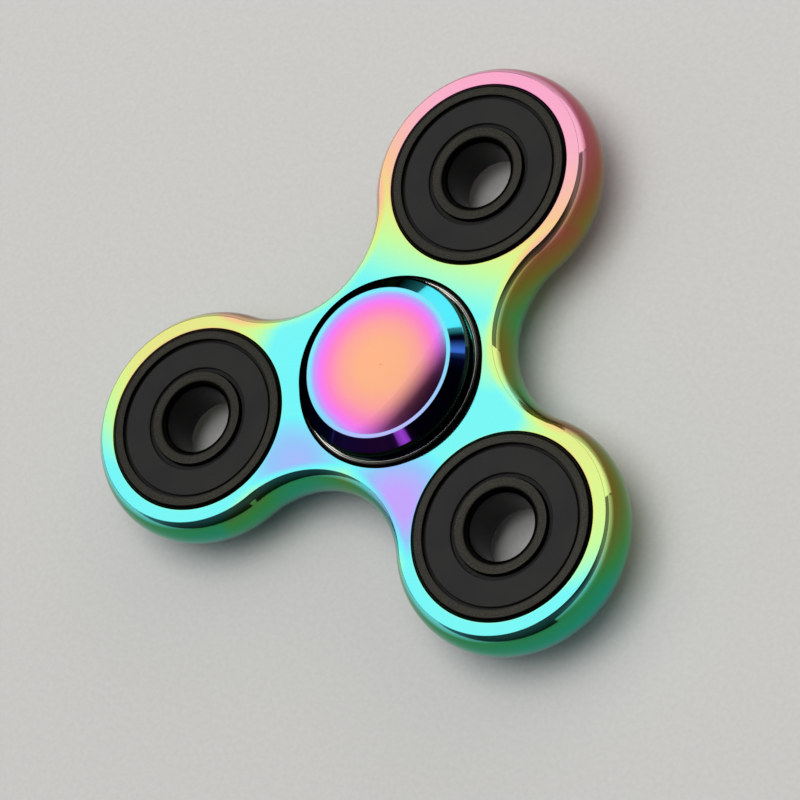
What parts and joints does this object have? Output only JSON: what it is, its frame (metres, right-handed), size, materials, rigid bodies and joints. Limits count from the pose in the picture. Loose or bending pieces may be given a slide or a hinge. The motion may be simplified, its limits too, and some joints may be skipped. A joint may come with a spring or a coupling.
{
  "type": "fidget spinner",
  "caption": "Three-lobed metal fidget spinner with a rainbow coating, dished finger buttons on a middle bearing, and open sealed ball bearings in the lobes.",
  "frame": {"origin": "on the spin axis, half way between the two finger buttons, at the middle plane of the body and of every bearing", "axes": "+Z is the spin axis, out of the upper button; +Y points from the spin axis at the first lobe"},
  "size_m": [0.0714, 0.0655, 0.0126],
  "materials": {
    "rainbow_body": "mirror polish under a rainbow vapour-deposited coating",
    "rainbow_button": "mirror polish under a rainbow vapour-deposited coating, finely knurled skirt",
    "bearing_ring_dark": "dark ground steel with a fine grainy face",
    "bearing_ring_bright": "ground and polished bearing steel",
    "ball_steel": "lapped steel",
    "cage_nylon": "moulded nylon",
    "seal_rubber": "matte moulded nitrile rubber"
  },
  "bodies": {
    "hub": {"top_cap": "rainbow_button", "bottom_cap": "rainbow_button", "center_inner_ring": "bearing_ring_dark"},
    "spinner": {"body_frame": "rainbow_body", "center_outer_ring": "bearing_ring_bright", "lobe_1_outer_ring": "bearing_ring_dark", "lobe_1_seal_top": "seal_rubber", "lobe_1_seal_bottom": "seal_rubber", "lobe_2_outer_ring": "bearing_ring_dark", "lobe_2_seal_top": "seal_rubber", "lobe_2_seal_bottom": "seal_rubber", "lobe_3_outer_ring": "bearing_ring_dark", "lobe_3_seal_top": "seal_rubber", "lobe_3_seal_bottom": "seal_rubber"},
    "center_cage_set": {"center_cage": "cage_nylon", "center_balls": "ball_steel"},
    "lobe_1_inner": {"lobe_1_inner_ring": "bearing_ring_dark"},
    "lobe_1_cage_set": {"lobe_1_cage": "cage_nylon", "lobe_1_balls": "ball_steel"},
    "lobe_2_inner": {"lobe_2_inner_ring": "bearing_ring_dark"},
    "lobe_2_cage_set": {"lobe_2_cage": "cage_nylon", "lobe_2_balls": "ball_steel"},
    "lobe_3_inner": {"lobe_3_inner_ring": "bearing_ring_dark"},
    "lobe_3_cage_set": {"lobe_3_cage": "cage_nylon", "lobe_3_balls": "ball_steel"}
  },
  "joints": [
    {"name": "spin", "type": "hinge", "parent": "hub", "child": "spinner", "pos_m": [0, 0, 0], "axis": [0, 0, 1], "continuous": true},
    {"name": "center_cage_roll", "type": "hinge", "parent": "hub", "child": "center_cage_set", "pos_m": [0, 0, 0], "axis": [0, 0, 1], "continuous": true},
    {"name": "lobe_1_spin", "type": "hinge", "parent": "spinner", "child": "lobe_1_inner", "pos_m": [0, 0.025, 0], "axis": [0, 0, 1], "continuous": true},
    {"name": "lobe_1_cage_roll", "type": "hinge", "parent": "spinner", "child": "lobe_1_cage_set", "pos_m": [0, 0.025, 0], "axis": [0, 0, 1], "continuous": true},
    {"name": "lobe_2_spin", "type": "hinge", "parent": "spinner", "child": "lobe_2_inner", "pos_m": [-0.02165, -0.0125, 0], "axis": [0, 0, 1], "continuous": true},
    {"name": "lobe_2_cage_roll", "type": "hinge", "parent": "spinner", "child": "lobe_2_cage_set", "pos_m": [-0.02165, -0.0125, 0], "axis": [0, 0, 1], "continuous": true},
    {"name": "lobe_3_spin", "type": "hinge", "parent": "spinner", "child": "lobe_3_inner", "pos_m": [0.02165, -0.0125, 0], "axis": [0, 0, 1], "continuous": true},
    {"name": "lobe_3_cage_roll", "type": "hinge", "parent": "spinner", "child": "lobe_3_cage_set", "pos_m": [0.02165, -0.0125, 0], "axis": [0, 0, 1], "continuous": true}
  ],
  "couplings": [
    {"joint": "center_cage_roll", "follows": "spin", "ratio": 0.6323},
    {"joint": "lobe_1_cage_roll", "follows": "lobe_1_spin", "ratio": 0.3677},
    {"joint": "lobe_2_cage_roll", "follows": "lobe_2_spin", "ratio": 0.3677},
    {"joint": "lobe_3_cage_roll", "follows": "lobe_3_spin", "ratio": 0.3677}
  ]
}
